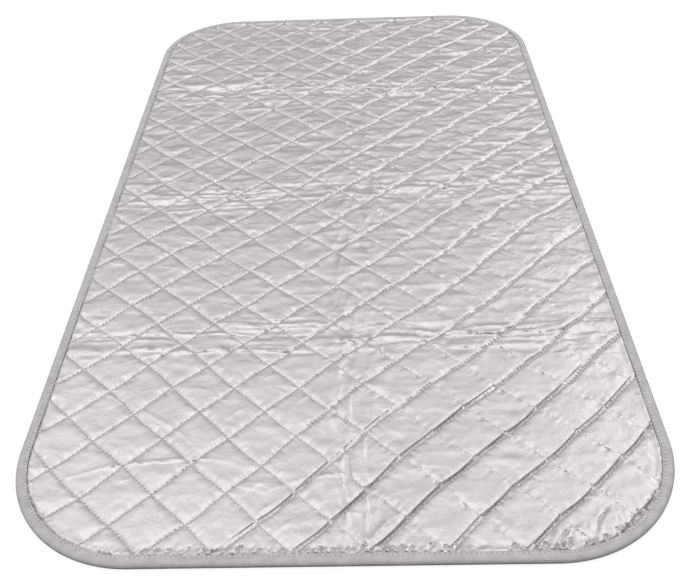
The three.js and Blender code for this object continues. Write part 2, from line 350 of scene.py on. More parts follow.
def all_folds():
    """Wrinkles as a middle, a half length, a turn, a rise and a width, most of them along the creases."""

    def across():
        return rng.uniform(-FOLDS_X, FOLDS_X)

    folds = [(x, y, half, math.radians(turn), rise, width) for x, y, half, turn, rise, width in LONG_FOLDS]
    for y in CREASES.values():
        folds += drawn_folds(CROSSWISE_FOLDS, lambda: (across(), rng.normal(y, CROSSWISE_SPREAD)))
    folds += drawn_folds(LENGTHWISE_FOLDS, lambda: (
        rng.normal(LONG_CREASE, LENGTHWISE_SPREAD),
        FOLDS_REAR - 2 * FOLDS_REAR * rng.uniform() ** LENGTHWISE_CROWD,
    ))
    folds += drawn_folds(SCATTERED_FOLDS, lambda: (across(), rng.uniform(-FOLDS_Y, FOLDS_Y)))
    return folds


def fold_height(net, folds):
    """All the folds as ridges and troughs, each bowed a little along its length."""
    height = np.zeros(net.x.shape)
    for x, y, half, turn, rise, width in folds:
        reach = half + FOLD_MARGIN
        columns = np.flatnonzero(np.abs(net.x[0] - x) < reach)
        rows = np.flatnonzero(np.abs(net.y[:, 0] - y) < reach)
        if not len(columns) or not len(rows):
            continue
        window = np.ix_(rows, columns)
        dx, dy = net.x[window] - x, net.y[window] - y
        along = (dx * math.cos(turn) + dy * math.sin(turn)) / half
        aside = dy * math.cos(turn) - dx * math.sin(turn) + FOLD_BOW * half * along**2
        taper = np.clip(1 - along**2, 0, 1)
        steep = width * np.where(aside < 0, FOLD_FRONT, FOLD_REAR)
        trough = TROUGH_DEPTH * np.exp(-((aside / (TROUGH_WIDTH * width)) ** 2))
        height[window] += rise * taper * (np.exp(-np.abs(aside) / steep) - trough)
    return height


def crinkles(net):
    """Sharp ridges between flat places: small ones all over, long ones along the folds."""
    crosswise, lengthwise, _ = crease_fields(net)

    def ridged(across, along):
        return RIDGE_TOP - np.abs(streaks(net.x.shape, across / net.dx, along / net.dy))

    rear = rear_share(net.y)
    small = sum((rise + more * rear) * ridged(across, along) for rise, more, across, along in CRINKLES)
    small *= (CRINKLE_FRONT + CRINKLE_REAR * rear) * (CRINKLE_LEFT + CRINKLE_RIGHT * right_share(net.x))
    for crease, (rise, across, along) in ((crosswise, CREASE_CRINKLES), (lengthwise, LONG_CREASE_CRINKLES)):
        small = small + rise * crease * ridged(across, along)
    return small


# Gathers of the cover at its stitching

# Pleats at the tape: pitch, depth, slant and the step that they are drawn at, then how uneven they are
PLEAT_PITCH, PLEAT_DEPTH, PLEAT_SLANT, PLEAT_STEP = 7.6, 4.4, 0.6, 0.5
PLEAT_UNEVEN, PLEAT_UNEVEN_WIDTH = 0.45, 12
PLEAT_SHARES = {"mean": 0.7, "spread": 0.5, "width": 9, "least": 0, "most": 1.4}
PLEAT_REACHES = {"mean": 0.5, "spread": 0.7, "width": 8, "least": 0.1, "most": 2.2}

# Fading of the strokes, by where they are, and length of the ticks
STROKE_SHARE, STROKE_REACH, STROKE_REACH_FRONT, STROKE_REACH_CORNER = 0.3, 2.2, 2.5, 5
TICK_LENGTH, TICK_LONGER, TICK_START, TICK_END = 4.0, 2.0, 0.1, 1.2

# Where the pleats are deep, at the front and at its right-hand corner, and where the ticks begin
PLEAT_FRONT_Y, PLEAT_LEAST, TICK_X = (-300, -400), 0.25, (-150, -110)
CORNER_START_X, CORNER_END_X, CORNER_Y = (60, 110), (205, 170), (-350, -385)

# Puckers along the seams: the step and width of their noise, their reach and their rise
PUCKER_STEP, PUCKER_WIDTH, PUCKER_REACH, PUCKER_RISE = 0.8, 1.5, 3.2, 0.42
PUCKER_TOP, PUCKER_LINES, UNSMOOTHED = 0.7, 160, 0.01
PUCKER_FRONT, PUCKER_FRONT_X, PUCKER_FRONT_Y = 0.6, (-60, 60), (-180, -280)


def edge_length(x, y):
    """Distance round the finished edge to the place nearest to a point."""
    half_x, half_y = WIDTH / 2 - CORNER, LENGTH / 2 - CORNER
    quarter = half_x + half_y + CORNER * math.pi / 2
    over_x, over_y = np.abs(x) - half_x, np.abs(y) - half_y
    turned = half_y + CORNER * np.arctan2(np.maximum(over_y, 0), np.maximum(over_x, 1e-9))
    side = np.where(over_y < 0, np.abs(y), turned)
    end = half_y + CORNER * math.pi / 2 + half_x - np.abs(x)
    first = np.where((over_x < 0) & (over_y > over_x), end, side)
    return np.select(
        [(x >= 0) & (y >= 0), (x < 0) & (y >= 0), (x < 0) & (y < 0)],
        [first, 2 * quarter - first, 2 * quarter + first],
        4 * quarter - first,
    )


def ring_shares(count, mean, spread, width, least, most):
    """Uneven shares round a closed line."""
    return np.clip(mean + spread * ring_noise(count, width), least, most)


def tape_pleats(net):
    """Depth of the pleats where the tape gathers the cover: strokes all round, and ticks along the front."""
    total = 2 * (WIDTH + LENGTH) - 8 * CORNER + 2 * math.pi * CORNER
    steps = round(total / PLEAT_STEP)
    place = np.arange(steps) * PLEAT_STEP
    evenly = round(total / PLEAT_PITCH) * place / total
    turns = evenly + PLEAT_UNEVEN * ring_noise(steps, PLEAT_UNEVEN_WIDTH)
    wave = 0.5 + 0.5 * np.cos(2 * math.pi * turns)
    share = ring_shares(steps, **PLEAT_SHARES)
    leaning = (edge_length(net.x, net.y) - PLEAT_SLANT * (net.inset - BINDING)) % total
    stroke = np.interp(leaning, place, wave**2 * share)
    tick = np.interp(leaning, place, wave**4 * share)
    front = smoothstep(*PLEAT_FRONT_Y, net.y)
    reach = np.interp(leaning, place, ring_shares(steps, **PLEAT_REACHES))
    corner = smoothstep(*CORNER_START_X, net.x) * smoothstep(*CORNER_END_X, net.x)
    corner = corner * smoothstep(*CORNER_Y, net.y)
    beyond = np.maximum(net.inset - BINDING, 0)
    fade = STROKE_REACH + front * (1 + STROKE_REACH_FRONT * reach) + STROKE_REACH_CORNER * corner
    stroke = STROKE_SHARE * stroke * np.exp(-beyond / fade)
    end = TICK_LENGTH + TICK_LONGER * reach
    tick = tick * front * smoothstep(*TICK_X, net.x)
    ramp = np.clip(TICK_START + (1 - TICK_START) * beyond / end, 0, 1)
    tick = tick * ramp * smoothstep(end + TICK_END, end, beyond)
    deepest = np.maximum(stroke, tick) * (net.inset > BINDING)
    return PLEAT_DEPTH * deepest * from_least(PLEAT_LEAST, front)


def seam_puckers(net):
    """Short creases square to the seams, where the stitching gathers the cloth."""
    counts = lattice(net.x, net.y)
    height = np.zeros(net.x.shape)
    right = right_share(net.x)
    front = smoothstep(*PUCKER_FRONT_X, net.x) * smoothstep(*PUCKER_FRONT_Y, net.y)
    for (across, along), share in ((counts, 1 + right), (counts[::-1], 1 + PUCKER_FRONT * front)):
        side = np.floor(2 * across).astype(int) % PUCKER_LINES
        place = (along - along.min()) * DIAMOND_EDGE / PUCKER_STEP
        noise = streaks((PUCKER_LINES, int(place.max()) + 2), PUCKER_WIDTH, UNSMOOTHED)
        lines = PUCKER_TOP - np.abs(noise)
        step = place.astype(int)
        onward = place - step
        line = lines[side, step] * (1 - onward) + lines[side, step + 1] * onward
        height += share * line * np.exp(-to_whole(across) / PUCKER_REACH)
    return PUCKER_RISE * height


# Simulation of the cover

SIM_SCALE = 0.01
SIM_FRAMES = 16

# Pillows before the cloth settles: run and rise of their sides, and the inset at which they are full
SOFT_RUN, SOFT_RISE, SOFT_RIM = 7.5, 1.6, 8

# Width of the cover that is held beside the tape
HELD = 1.5

# Ripples that the cloth starts from: rise, and lengths across and along in net steps
FINE_RIPPLES = 0.14, 2.0, 2.0
CROSSWISE_RIPPLES = 0.55, 9, 1.4
LENGTHWISE_RIPPLES = 0.45, 1.4, 8
GATHER_RIPPLES = 0.45, 5, 1.2
RIPPLES_ALL, RIPPLES_FREE = 0.25, 0.75

# Half the width of the strip at a corner over which gathers of the sides turn into gathers of the ends
CORNER_BLEND = 40

# Spare cloth by place, and how uneven it is
SLACK_CROSSWISE, SLACK_LENGTHWISE, SLACK_GATHERS = 0.8, 0.5, 0.3
SLACK_UNEVEN, SLACK_PATCH = 0.1, 14


def start_height(net):
    """Pillows between the seams before the cloth settles, drawn down to a band under the tape."""
    pillow = 1 - np.clip(1 - seam_distance(net.x, net.y) / SOFT_RUN, 0, 1) ** 2
    rim = smoothstep(BINDING + RIM_GAP, BINDING + SOFT_RIM, net.inset)
    band = (RIM_Z - SEAM_Z) * (1 - smoothstep(BINDING, BINDING + RIM_RUN, net.inset))
    return SEAM_Z + band + SOFT_RISE * pillow * rim, pillow * rim


def first_ripples(net):
    """Fine ripples all over, and long ones along the creases and square to the tape."""
    crosswise, lengthwise, gathers = crease_fields(net)
    shape = net.x.shape
    ripples = 0
    sorts = (1, FINE_RIPPLES), (crosswise, CROSSWISE_RIPPLES), (lengthwise, LENGTHWISE_RIPPLES)
    for where, (rise, across, along) in sorts:
        ripples = ripples + rise * where * streaks(shape, across, along)
    nearer_side = (np.abs(net.x) - WIDTH / 2) - (np.abs(net.y) - LENGTH / 2)
    side = smoothstep(-CORNER_BLEND, CORNER_BLEND, nearer_side)
    rise, long, short = GATHER_RIPPLES
    gathered = side * streaks(shape, long, short) + (1 - side) * streaks(shape, short, long)
    return ripples + rise * gathers * gathered


def settle_cloth(net, height, slack):
    """Simulates the cover as cloth longer than its seams allow, so that it puckers between them."""
    kept = np.flatnonzero(net.kept.ravel())
    index = np.full(net.x.size, -1)
    index[kept] = np.arange(len(kept))
    points = net.points(height)
    mesh = bpy.data.meshes.new("settling")
    mesh.from_pydata((points[kept] * SIM_SCALE).tolist(), [], index[net.quads()].tolist())
    cloth = bpy.data.objects.new("settling", mesh)
    scene = bpy.context.scene
    scene.collection.objects.link(cloth)
    sewn = net.rising | net.falling | (net.inset < BINDING + HELD)
    pins = cloth.vertex_groups.new(name="pins")
    pins.add(np.flatnonzero(sewn.ravel()[kept]).tolist(), 1.0, "REPLACE")
    loose = cloth.vertex_groups.new(name="loose")
    for k, share in enumerate(slack.ravel()[kept].tolist()):
        loose.add([k], share, "REPLACE")
    modifier = cloth.modifiers.new("cloth", "CLOTH")
    settings = modifier.settings
    settings.quality = 5
    settings.vertex_group_mass = "pins"
    settings.tension_stiffness = settings.compression_stiffness = 30
    settings.shear_stiffness = 10
    settings.bending_stiffness = 0.5
    settings.air_damping = 2
    settings.use_pressure = True
    settings.uniform_pressure_force = 0.15
    settings.vertex_group_shrink = "loose"
    settings.shrink_min, settings.shrink_max = -0.02, -0.08
    settings.effector_weights.gravity = 0
    modifier.collision_settings.use_collision = False
    modifier.point_cache.frame_end = SIM_FRAMES
    for number in range(1, SIM_FRAMES + 1):
        scene.frame_set(number)
    evaluated = cloth.evaluated_get(bpy.context.evaluated_depsgraph_get())
    settled = np.zeros(len(kept) * 3)
    evaluated.data.vertices.foreach_get("co", settled)
    scene.frame_set(1)
    bpy.data.objects.remove(cloth)
    bpy.data.meshes.remove(mesh)
    points[kept] = settled.reshape(-1, 3) / SIM_SCALE
    return points


def crumple(net):
    """How far the settled cloth has moved from smooth pillows, on the fine net."""
    coarse = Net(SIM_STEPS, NET_INSET)
    smooth, free = start_height(coarse)
    ripples = first_ripples(coarse)
    height = smooth + ripples * (RIPPLES_ALL * (coarse.inset > BINDING + HELD) + RIPPLES_FREE * free)
    crosswise, lengthwise, gathers = crease_fields(coarse)
    slack = SLACK_CROSSWISE * crosswise + SLACK_LENGTHWISE * lengthwise + SLACK_GATHERS * gathers
    slack = np.clip(slack + SLACK_UNEVEN * streaks(coarse.x.shape, SLACK_PATCH, SLACK_PATCH), 0, 1)
    points = coarse.points(height)
    points = settle_cloth(coarse, height, slack)
    moved = (points - coarse.points(smooth)).reshape(*coarse.x.shape, 3)
    return np.stack([coarse.sample(moved[..., k], net) for k in range(3)], -1)


# Quilted diamonds of the cover

# A tight roll at the seam, a round shoulder that is narrower at the right, then a slow rise to the crown
ROLL_RISE, ROLL_RUN = 0.85, 1.0
SHOULDER_RISE, SHOULDER_RUN, SHOULDER_NARROWER = 0.7, 5.8, 2
SHOULDER_LEANING, SHOULDER_LEAST = 0.5, 0.3
SHOULDER_REAR, SHOULDER_REAR_Y = 0.7, (-150, 250)
CROWN_RISE = 0.2

# Each diamond has its own share of a puff; diamonds are numbered over and over by this count
PUFFS, CELLS = (0.4, 1.5), 60

# How hard the seams and the tape draw the cover in, and what the right or the front adds to that
RISING_PULL, RISING_PULL_RIGHT = 0.7, 0.45
FALLING_PULL, FALLING_PULL_RIGHT = 0.75, -0.6
PULL_UNEVEN, PULL_PATCH = 0.1, 16
TAPE_PULL, TAPE_PULL_FRONT, TAPE_PULL_FRONT_Y, TAPE_PULL_RUN = 0.4, 0.2, (-330, -400), 0.6

# Rise and end of the brim at the tape, and heights along a seam between and under its stitches
BRIM_RISE, BRIM_END, SEAM_BEADS = 0.9, 1.5, (-0.35, 0.25)

# Rows that lean over: where they begin, at this place and further forward to the left of it
LEAN_X, LEAN_START, LEAN_PLACE, LEAN_SLOPE, LEAN_FADE = (-110, 60), -235, 150, 0.35, 70
LEAN_RISE, LEAN_RUN, LEAN_STEPS, LEANS = 1.0, 1.3, 6, (0.35, 1.65)

# How uneven the leaning is, its share near a crossing, and how far a diamond's edge bulges
LEAN_EVEN, LEAN_UNEVEN, LEAN_PATCH, LEAN_MOST = 0.95, 0.2, 12, 1.6
LEAN_CROSSING, LEAN_FULL = (-0.5, 2.5), 1.3
BULGE_LEAST, BULGE_MORE = 0.65, 0.5

# Level and setback of the ledge under a leaning row, by net steps from the seam, and height of the nose
LEDGE = ((-0.1, 0.0), (-0.2, 0.0), (-1.0, 0.0), (-1.2, 0.6))
NOSE_HEIGHT = 1.0

# Share of the settled cloth's movement that the cover takes, by place
MOVED, MOVED_REAR, MOVED_CROSSWISE, MOVED_LENGTHWISE, MOVED_GATHERS = 0.2, 0.12, 0.35, 0.15, 0.5
MOVED_MOST = 1.1

# Lean of a wrinkle to the front for its height, its share on a seam, and where from the tape it is full
RIDGE_LEAN = 0.6
FOLDS_SEWN, FOLDS_INSET = 0.35, 3

# Height over which the crown is eased, and the least height of the cover
CROWN_EASE, LEAST_Z = 0.8, 1.2


def lean_share(net):
    """How far the rows of diamonds lean over, most at the front right."""
    start = LEAN_START - LEAN_SLOPE * (LEAN_PLACE - net.x)
    return smoothstep(*LEAN_X, net.x) * smoothstep(start, start - LEAN_FADE, net.y)


def by_diamond(shares, first, second):
    """The share of the diamond that each point is in."""
    return shares[np.floor(first).astype(int) % CELLS, np.floor(second).astype(int) % CELLS]


def quilt_height(net):
    """The finished pillows, each puffed up by its own share, rolled in at the seams and at the tape."""
    rising, falling = lattice(net.x, net.y)
    puff = by_diamond(rng.uniform(*PUFFS, (CELLS, CELLS)), rising, falling)
    to_rising, to_falling = to_whole(rising), to_whole(falling)
    to_tape = np.maximum(net.inset - BINDING, 0)
    right = right_share(net.x)

    def uneven():
        return PULL_UNEVEN * streaks(net.x.shape, PULL_PATCH, PULL_PATCH)

    rising_pull = RISING_PULL + RISING_PULL_RIGHT * right + uneven()
    falling_pull = FALLING_PULL + FALLING_PULL_RIGHT * right + uneven()
    rising_roll = rising_pull * np.exp(-to_rising / ROLL_RUN)
    drawn = np.maximum(rising_roll, falling_pull * np.exp(-to_falling / ROLL_RUN))
    tape_pull = TAPE_PULL + TAPE_PULL_FRONT * smoothstep(*TAPE_PULL_FRONT_Y, net.y)
    drawn = np.maximum(drawn, tape_pull * np.exp(-np.maximum(to_tape - RIM_GAP, 0) / TAPE_PULL_RUN))
    distance = np.minimum(np.minimum(to_rising, to_falling), to_tape)
    crown = 1 - (1 - np.clip(distance / (SPACING / 2), 0, 1)) ** 2
    run = SHOULDER_RUN - SHOULDER_NARROWER * right
    near_rising, near_falling, near_tape = (
        np.clip(1 - near / run, 0, 1) ** 2 for near in (to_rising, to_falling, to_tape)
    )
    near_seam = np.maximum(rising_pull * near_rising, falling_pull * near_falling)
    shoulder = 1 - np.maximum(near_seam, near_tape)
    brim = BRIM_RISE * smoothstep(BINDING + RIM_GAP, BINDING + BRIM_END, net.inset)
    band = (RIM_Z - SEAM_Z + brim) * (1 - smoothstep(BINDING, BINDING + RIM_RUN, net.inset))
    sewn = np.maximum(net.rising, net.falling * falling_pull)
    bead = np.where(net.i % 2 == 0, *SEAM_BEADS) * sewn * (to_tape > 1)
    height = SEAM_Z + band + ROLL_RISE * (1 - drawn) + CROWN_RISE * puff * crown + bead
    rear = 1 + SHOULDER_REAR * smoothstep(*SHOULDER_REAR_Y, net.y)
    steep = (1 - SHOULDER_LEANING * lean_share(net)) * rear
    height = height + SHOULDER_RISE * steep * from_least(SHOULDER_LEAST, puff) * shoulder
    return height, 1 - np.clip(drawn, 0, 1)


def overhang(net, height):
    """Rise and run of the rows of diamonds that lean over their lower seams, as shingles do."""
    rising, falling = lattice(net.x, net.y)
    share = lean_share(net) * by_diamond(rng.uniform(*LEANS, (CELLS, CELLS)), falling, rising)
    uneven = streaks(net.x.shape, LEAN_PATCH, LEAN_PATCH)
    share *= np.clip(LEAN_EVEN + LEAN_UNEVEN * uneven, 0, LEAN_MOST)
    share *= smoothstep(BINDING, BINDING + RIM_RUN, net.inset)
    share *= smoothstep(*LEAN_CROSSING, to_whole(falling))
    full = np.clip(LEAN_FULL * share, 0, 1)
    to_seam = (net.j - net.i) % (2 * net.steps)
    above = np.maximum(height - SEAM_Z, 0)
    rise = LEAN_RISE * share * (0.5 - to_seam / (2 * net.steps))
    bulge = BULGE_LEAST + BULGE_MORE * np.sin(math.pi * (falling % 1))
    run = LEAN_RUN * bulge * full * np.clip(1 - (to_seam - len(LEDGE)) / LEAN_STEPS, 0, 1)
    for step, (level, back) in enumerate(LEDGE):
        rise = np.where(to_seam == step, full * (level - above), rise)
        run = np.where(to_seam == step, -full * back, run)
    nose = to_seam == len(LEDGE)
    return np.where(nose, rise + full * np.minimum(NOSE_HEIGHT - above, 0), rise), run


def limit(height):
    """Heights eased under the crown that the folded pad has room for."""
    over = np.maximum(height - (CROWN_Z - CROWN_EASE), 0)
    return height - over + CROWN_EASE * np.tanh(over / CROWN_EASE)


def build_cover(material):
    net = Net(FINE_STEPS, NET_INSET)
    moved = crumple(net)
    crosswise, lengthwise, gathers = crease_fields(net)
    gain = MOVED + MOVED_REAR * rear_share(net.y) + MOVED_CROSSWISE * crosswise
    gain = np.clip(gain + MOVED_LENGTHWISE * lengthwise + MOVED_GATHERS * gathers, 0, MOVED_MOST)
    height, roll = quilt_height(net)
    folds = fold_height(net, all_folds()) * from_least(FOLDS_SEWN, roll)
    folds = folds + (crinkles(net) + seam_puckers(net)) * roll
    inside = smoothstep(BINDING, BINDING + FOLDS_INSET, net.inset)
    rise, run = overhang(net, height)
    height = height + gain * moved[..., 2] + inside * folds + rise - tape_pleats(net)
    x = net.x + gain * moved[..., 0] + run * SPACING / ACROSS
    y = net.y + gain * moved[..., 1] - run * SPACING / ALONG - RIDGE_LEAN * inside * folds
    x, y = wander(x, y)
    points = np.stack([x, y, np.maximum(limit(height), LEAST_Z)], -1).reshape(-1, 3)
    normals = vertex_normals(points, net.triangles())
    for span, quarters in QUARTERS.items():
        faces = net.triangles(net.span_rows(span))
        corners = crisp_normals(points, faces, normals)
        obj = part_object(f"quilted_cover_{span}", points, corners, faces, material)
        layers = [f"{layer}_{quarter}" for layer in ("top_cover", "batting") for quarter in quarters]
        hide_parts(*layers)
        bend_over_crease(obj)
    return net, points.reshape(*net.x.shape, 3)


# Backing

# Depth and run of the grooves at the seams, height of the hem under the tape, and height above the table
GROOVE_DEPTH, GROOVE_RUN, HEM_Z, BACKING_Z = 0.9, 4, 1.1, 0.02


def build_backing(material):
    net = Net(BACKING_STEPS, NET_INSET)
    groove = GROOVE_DEPTH * np.clip(1 - seam_distance(net.x, net.y) / GROOVE_RUN, 0, 1) ** 2
    hem = HEM_Z * (1 - smoothstep(BINDING + RIM_GAP, BINDING + RIM_RUN, net.inset))
    x, y = wander(net.x, net.y)
    points = np.stack([x, y, BACKING_Z + np.maximum(groove, hem)], -1).reshape(-1, 3)
    normals = -vertex_normals(points, net.triangles())
    for span, quarters in QUARTERS.items():
        rows = net.span_rows(span)
        faces = net.triangles(rows)[:, ::-1]
        obj = part_object(f"backing_cloth_{span}", points, normals[faces], faces, material)
        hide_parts(*[f"backing_{quarter}" for quarter in quarters])
        bend_over_crease(obj)


# Binding

# Stitches along the tape: pitch, length, radius and inset, and the stations of the tape to a stitch
TAPE_PITCH, TAPE_STITCH, TAPE_RADIUS, TAPE_LINE = 3.3, 2.3, 0.42, 6.2
TAPE_SPLIT = 4

# The lapped end of the tape, between two places along the right-hand side
LAP, LAP_SLANT, LAP_RISE, LAP_EDGE = (-44.0, -24.0), 0.6, 0.75, 0.5

# Section of the tape as inset and height: over the top from its inner edge, down round the edge and back
TAPE_SECTION = np.array([
    (7.4, 3.6), (7.8, 3.85), (7.75, 4.25), (7.2, 4.4), (6.2, 3.85), (5.2, 4.45), (4.3, 4.62), (3.3, 4.64),
    (2.2, 4.5), (1.2, 4.15), (0.45, 3.5), (0.05, 2.6), (0.05, 1.7), (0.5, 0.75), (1.6, 0.16), (3.4, 0.0),
    (5.0, 0.0), (6.2, 0.14), (7.4, 0.0), (7.8, 0.35), (7.4, 0.75), (2.6, 0.9), (1.3, 2.2), (2.6, 3.7),
])
UPPER_Z, INNER_INSET = 3.6, 6

# Unevenness of the tape's top and of its inner edge: rise and length in stations
TAPE_WAVES = ((0.07, 2.2), (0.05, 12))
EDGE_WAVE, EDGE_WAVE_LENGTH = 0.2, 11

# Dents that the stitches go down into
DENT_DEPTH, DENT_WIDTH = 0.9, 0.8


def edge_path(split):
    """Stitch by stitch round the finished edge from the front of the right side, and the outward normals."""
    half_x, half_y = WIDTH / 2 - CORNER, LENGTH / 2 - CORNER
    corners = ((half_x, half_y), (-half_x, half_y), (-half_x, -half_y), (half_x, -half_y))
    stations, normals = [], []
    for quarter, (corner_x, corner_y) in enumerate(corners):
        run = 2 * (half_y if quarter % 2 == 0 else half_x)
        facing = np.array([math.cos(quarter * math.pi / 2), math.sin(quarter * math.pi / 2)])
        onward = np.array([-facing[1], facing[0]])
        arc_start = np.array([corner_x, corner_y]) + CORNER * facing
        count = split * round(run / TAPE_PITCH)
        for k in range(count):
            stations.append(arc_start - onward * run * (1 - k / count))
            normals.append(facing)
        count = split * round(CORNER * math.pi / 2 / TAPE_PITCH)
        for k in range(count):
            angle = (quarter + k / count) * math.pi / 2
            normals.append(np.array([math.cos(angle), math.sin(angle)]))
            stations.append(np.array([corner_x, corner_y]) + CORNER * normals[-1])
    return np.array(stations), np.array(normals)


def lap_share(stations, depth):
    """One where the tape's end lies over its start, on the right-hand side, between two slanting edges."""
    along = stations[:, 1:] - LAP_SLANT * depth
    on_right = stations[:, :1] > WIDTH / 2 - 1
    start, end = LAP
    started = on_right * smoothstep(start - LAP_EDGE, start + LAP_EDGE, along)
    return started * smoothstep(end + LAP_EDGE, end - LAP_EDGE, along)


def build_binding(material):
    stations, normals = edge_path(TAPE_SPLIT)
    count, size = len(stations), len(TAPE_SECTION)
    depth, height = (np.repeat(TAPE_SECTION[None, :, k], count, 0) for k in (0, 1))
    upper = TAPE_SECTION[None, :, 1] > UPPER_Z
    inner = TAPE_SECTION[None, :, 0] > INNER_INSET
    height = height + upper * sum(rise * ring_noise(count, length) for rise, length in TAPE_WAVES)[:, None]
    depth = depth + inner * EDGE_WAVE * ring_noise(count, EDGE_WAVE_LENGTH)[:, None]
    hole = (np.arange(count) % TAPE_SPLIT == TAPE_SPLIT // 2)[:, None]
    line = np.exp(-(((TAPE_SECTION[None, :, 0] - TAPE_LINE) / DENT_WIDTH) ** 2))
    height = height + upper * (LAP_RISE * lap_share(stations, depth) - DENT_DEPTH * hole * line)
    points = np.stack([
        stations[:, None, 0] - normals[:, None, 0] * depth,
        stations[:, None, 1] - normals[:, None, 1] * depth,
        np.maximum(height, 0.0),
    ], -1).reshape(-1, 3)
    index = np.arange(count * size).reshape(count, size)
    after = np.roll(index, -1, 0)
    quads = np.stack([index, after, np.roll(after, -1, 1), np.roll(index, -1, 1)], -1)
    smooth = vertex_normals(points, np.concatenate([
        quads[..., [0, 1, 2]].reshape(-1, 3),
        quads[..., [0, 2, 3]].reshape(-1, 3),
    ]))
    middle = (stations[:, 1] + np.roll(stations[:, 1], -1)) / 2
    for span, (_, _, low, high) in SPANS.items():
        faces = quads[(middle >= low) & (middle < high)].reshape(-1, 4)
        obj = part_object(f"binding_tape_{span}", points, smooth[faces], faces, material)
        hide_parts(*TAPES[span])
        bend_over_crease(obj)


# Stitching

# Quilting stitches: length, radius, lift off the seam, drop on the slack falling seams, height underneath
STITCH_LENGTH, STITCH_RADIUS, STITCH_LIFT, STITCH_SUNK, UNDER_Z = 2.5, 0.4, 0.25, 0.35, 0.7

# Heights of the tape's stitches above and below, and their radius below
TAPE_STITCH_Z, TAPE_UNDER_Z, TAPE_UNDER_RADIUS = 4.2, 0.24, 0.2

# Rings of a stitch, each at a share of its length and of its radius, and the sides of its tube
STITCH_RINGS = ((-0.5, 0.4), (-0.3, 1.0), (0.3, 1.0), (0.5, 0.4))
STITCH_SIDES = 5


def stitch_mesh(centres, directions, up, length, radius):
    """Many short threads in one mesh, each a tube that dips into the cloth at its ends."""
    lift = np.array([0.0, 0.0, up])
    across = np.cross(lift, directions)
    circle = []
    for along, share in STITCH_RINGS:
        base = centres + directions * along * length - lift * radius * (1 - share)
        for side in range(STITCH_SIDES):
            angle = 2 * math.pi * side / STITCH_SIDES
            circle.append(base + radius * share * (across * math.cos(angle) + lift * math.sin(angle)))
    points = np.stack(circle, 1)
    one = np.arange(len(STITCH_RINGS) * STITCH_SIDES).reshape(len(STITCH_RINGS), STITCH_SIDES)
    beside = np.roll(one, -1, 1)
    tube = np.stack([one[:-1], one[1:], beside[1:], beside[:-1]], -1).reshape(-1, 4)
    faces = tube[None] + (np.arange(len(centres)) * one.size)[:, None, None]
    return points.reshape(-1, 3), faces.reshape(-1, 4)


def place_stitches(name, centres, directions, up, length, radius, material):
    for span, (_, _, low, high) in SPANS.items():
        here = (centres[:, 1] >= low) & (centres[:, 1] < high)
        points, faces = stitch_mesh(centres[here], directions[here], up, length, radius)
        obj = new_object(f"{name}_{span}", points, faces, material)
        bend_over_crease(obj)


def quilting_stitches(net, points):
    """Middles and directions of the stitches, one on every second point of a seam."""
    middles, directions = [], []
    for seam, slope in ((net.rising, 1), (net.falling, -1)):
        sewn = seam & (net.i % 2 != 0) & (net.inset > BINDING + 1)
        row, column = np.nonzero(sewn)
        ahead = points[row + slope, column + 1] - points[row - slope, column - 1]
        sunk = STITCH_SUNK * right_share(net.x[row, column]) * (slope < 0)
        middles.append(points[row, column] - np.outer(sunk, (0, 0, 1)))
        directions.append(ahead / np.linalg.norm(ahead, axis=1, keepdims=True))
    return np.concatenate(middles), np.concatenate(directions)


def build_stitching(net, points, material):
    middles, directions = quilting_stitches(net, points)
    over = middles + (0, 0, STITCH_LIFT)
    place_stitches("quilting_thread", over, directions, 1, STITCH_LENGTH, STITCH_RADIUS, material)
    under = middles * (1, 1, 0) + (0, 0, UNDER_Z)
    level = directions * (1, 1, 0)
    place_stitches("quilting_thread_under", under, level, -1, STITCH_LENGTH, STITCH_RADIUS, material)
    stations, normals = edge_path(1)
    onward = np.stack([-normals[:, 1], normals[:, 0], np.zeros(len(normals))], -1)
    line = np.c_[stations - normals * TAPE_LINE, np.full(len(stations), TAPE_STITCH_Z)]
    place_stitches("binding_thread", line, onward, 1, TAPE_STITCH, TAPE_RADIUS, material)
    under = line * (1, 1, 0) + (0, 0, TAPE_UNDER_Z)
    place_stitches("binding_thread_under", under, onward, -1, TAPE_STITCH, TAPE_UNDER_RADIUS, material)


# Materials

# Scale of the patches of uneven colour, and the noise levels between which a cloth's two tints lie
PATCHES, PATCH_LEVELS = 160, (0.3, 0.7)

# Pitch of a weave, how far its threads waver, and the turn of a wave texture over one unit
WEAVE_PITCH, WEAVE_WAVER, WAVE_TURN = 0.7, 0.6, 20
BUMP_HEIGHT = 0.6


def noise_node(tree, place, scale, detail):
    noise = tree.nodes.new("ShaderNodeTexNoise")
    noise.inputs["Scale"].default_value = scale
    noise.inputs["Detail"].default_value = detail
    tree.links.new(place, noise.inputs["Vector"])
    return noise.outputs["Fac"]


def add_weave(tree, place, height):
    """A height with threads each way added to it."""
    for direction in ("X", "Y"):
        threads = tree.nodes.new("ShaderNodeTexWave")
        threads.bands_direction = direction
        threads.inputs["Scale"].default_value = math.tau / WAVE_TURN / (WEAVE_PITCH * MM)
        threads.inputs["Distortion"].default_value = WEAVE_WAVER
        tree.links.new(place, threads.inputs["Vector"])
        total = tree.nodes.new("ShaderNodeMath")
        total.operation = "ADD"
        tree.links.new(height, total.inputs[0])
        tree.links.new(threads.outputs["Fac"], total.inputs[1])
        height = total.outputs[0]
    return height


